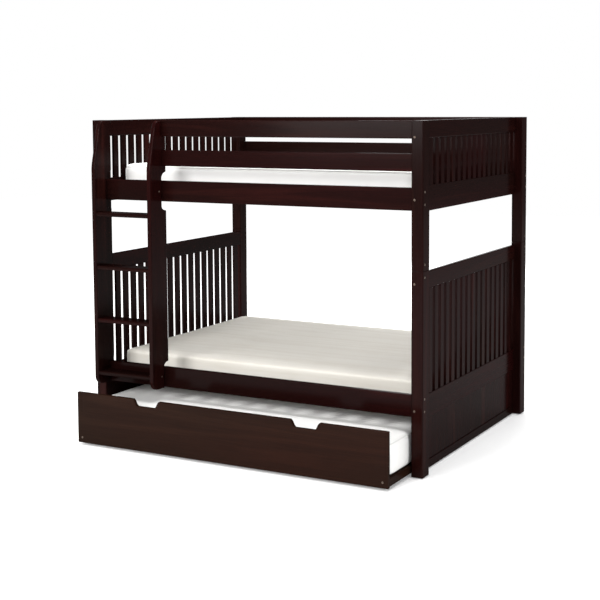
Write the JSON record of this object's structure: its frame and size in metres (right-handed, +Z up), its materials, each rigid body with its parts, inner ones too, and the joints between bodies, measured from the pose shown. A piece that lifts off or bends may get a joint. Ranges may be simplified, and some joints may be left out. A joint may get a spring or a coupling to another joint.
{
  "type": "trundle bed",
  "caption": "Dark wood full over full bunk bed with slatted ends, a fixed ladder, guard rails, mattresses and a trundle bed that rolls out on casters.",
  "frame": {"origin": "centre of the footprint at floor level, with the trundle standing 275 mm out as stored", "axes": "+X along the bed towards the end away from the ladder, +Y from the ladder side to the wall side, +Z up"},
  "size_m": [2.0482, 1.8612, 1.81],
  "materials": {
    "espresso_wood": "satin espresso lacquer over close-grained hardwood",
    "trundle_wood": "satin espresso lacquer, a little browner than the frame",
    "deck_wood": "espresso stain, thinner coat",
    "zinc_steel": "satin zinc plate",
    "bronzed_steel": "dark bronzed bolt heads",
    "black_nylon": "moulded",
    "ivory_sheet": "cotton sheet",
    "white_ticking": "knitted mattress cover"
  },
  "bodies": {
    "bed_frame": {"post_lower_fl": "espresso_wood", "post_lower_fr": "espresso_wood", "post_lower_bl": "espresso_wood", "post_lower_br": "espresso_wood", "post_upper_fl": "espresso_wood", "post_upper_fr": "espresso_wood", "post_upper_bl": "espresso_wood", "post_upper_br": "espresso_wood", "post_pins": "zinc_steel", "floor_glides": "black_nylon", "left_foot_rail": "espresso_wood", "left_panel": "espresso_wood", "left_mid_rail": "espresso_wood", "left_lower_slats": "espresso_wood", "left_lower_cap": "espresso_wood", "left_upper_rail": "espresso_wood", "left_upper_slats": "espresso_wood", "left_upper_cap": "espresso_wood", "right_foot_rail": "espresso_wood", "right_panel": "espresso_wood", "right_mid_rail": "espresso_wood", "right_lower_slats": "espresso_wood", "right_lower_cap": "espresso_wood", "right_upper_rail": "espresso_wood", "right_upper_slats": "espresso_wood", "right_upper_cap": "espresso_wood", "rail_lower_front": "espresso_wood", "rail_lower_back": "espresso_wood", "rail_upper_front": "espresso_wood", "rail_upper_back": "espresso_wood", "deck_cleats": "deck_wood", "deck_beams": "deck_wood", "deck_slats_lower": "deck_wood", "deck_slats_upper": "deck_wood", "guard_front_top": "espresso_wood", "guard_front_low": "espresso_wood", "guard_back_top": "espresso_wood", "guard_back_low": "espresso_wood", "ladder_left": "espresso_wood", "ladder_right": "espresso_wood", "ladder_treads": "espresso_wood", "frame_bolts": "bronzed_steel", "ladder_bolts": "bronzed_steel", "mattress_lower": "ivory_sheet", "mattress_upper": "white_ticking"},
    "trundle": {"trundle_front": "trundle_wood", "trundle_side_left": "trundle_wood", "trundle_side_right": "trundle_wood", "trundle_cross_rails": "deck_wood", "trundle_bearers": "deck_wood", "trundle_slats": "deck_wood", "trundle_screws": "bronzed_steel", "trundle_mattress": "white_ticking", "caster_brackets": "zinc_steel", "caster_axles": "zinc_steel"},
    "caster_fl": {"wheel_fl": "black_nylon"},
    "caster_fr": {"wheel_fr": "black_nylon"},
    "caster_bl": {"wheel_bl": "black_nylon"},
    "caster_br": {"wheel_br": "black_nylon"}
  },
  "joints": [
    {"name": "trundle_slide", "type": "slide", "parent": "bed_frame", "child": "trundle", "axis": [0, -1, 0], "range_m": [-0.275, 0.7]},
    {"name": "roll_fl", "type": "hinge", "parent": "trundle", "child": "caster_fl", "pos_m": [-0.884, -0.827, 0.018], "axis": [1, 0, 0], "continuous": true},
    {"name": "roll_fr", "type": "hinge", "parent": "trundle", "child": "caster_fr", "pos_m": [0.884, -0.827, 0.018], "axis": [1, 0, 0], "continuous": true},
    {"name": "roll_bl", "type": "hinge", "parent": "trundle", "child": "caster_bl", "pos_m": [-0.884, 0.063, 0.018], "axis": [1, 0, 0], "continuous": true},
    {"name": "roll_br", "type": "hinge", "parent": "trundle", "child": "caster_br", "pos_m": [0.884, 0.063, 0.018], "axis": [1, 0, 0], "continuous": true}
  ],
  "couplings": [
    {"joint": "roll_fl", "follows": "trundle_slide", "rad_per_m": 55.556},
    {"joint": "roll_fr", "follows": "trundle_slide", "rad_per_m": 55.556},
    {"joint": "roll_bl", "follows": "trundle_slide", "rad_per_m": 55.556},
    {"joint": "roll_br", "follows": "trundle_slide", "rad_per_m": 55.556}
  ]
}
